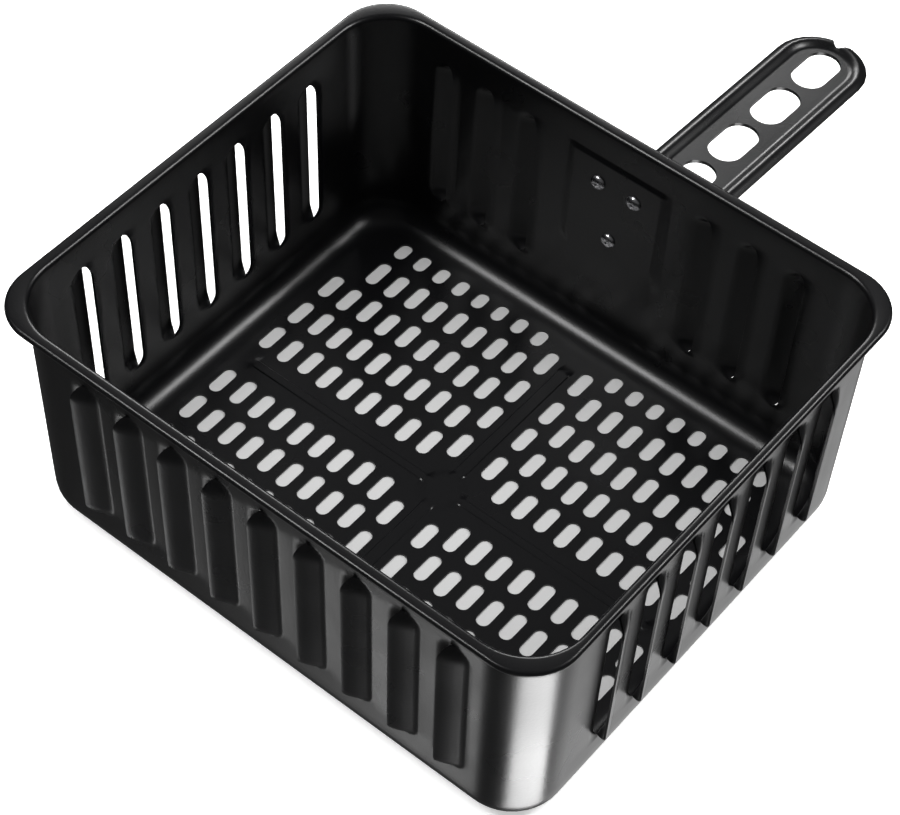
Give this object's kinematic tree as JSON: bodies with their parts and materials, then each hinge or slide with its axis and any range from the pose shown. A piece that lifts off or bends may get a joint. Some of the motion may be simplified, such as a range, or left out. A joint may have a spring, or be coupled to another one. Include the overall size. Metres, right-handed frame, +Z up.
{
  "type": "air fryer basket",
  "caption": "Drawer basket of an air fryer: black coated steel shell with a slotted floor, louvred walls and a rolled rim, and a riveted handle bracket",
  "frame": {"origin": "middle of the shell, on the underside of its floor", "axes": "+Z up, +Y along the handle, +X along the shell's longer side"},
  "size_m": [0.2436, 0.3718, 0.1077],
  "materials": {
    "nonstick_coating": "satin black non-stick coating on pressed steel",
    "rivet_metal": "bright"
  },
  "bodies": {
    "root": {"basket_shell": "nonstick_coating", "handle_bracket": "nonstick_coating", "left_rivet": "rivet_metal", "right_rivet": "rivet_metal", "lower_rivet": "rivet_metal"}
  },
  "joints": []
}
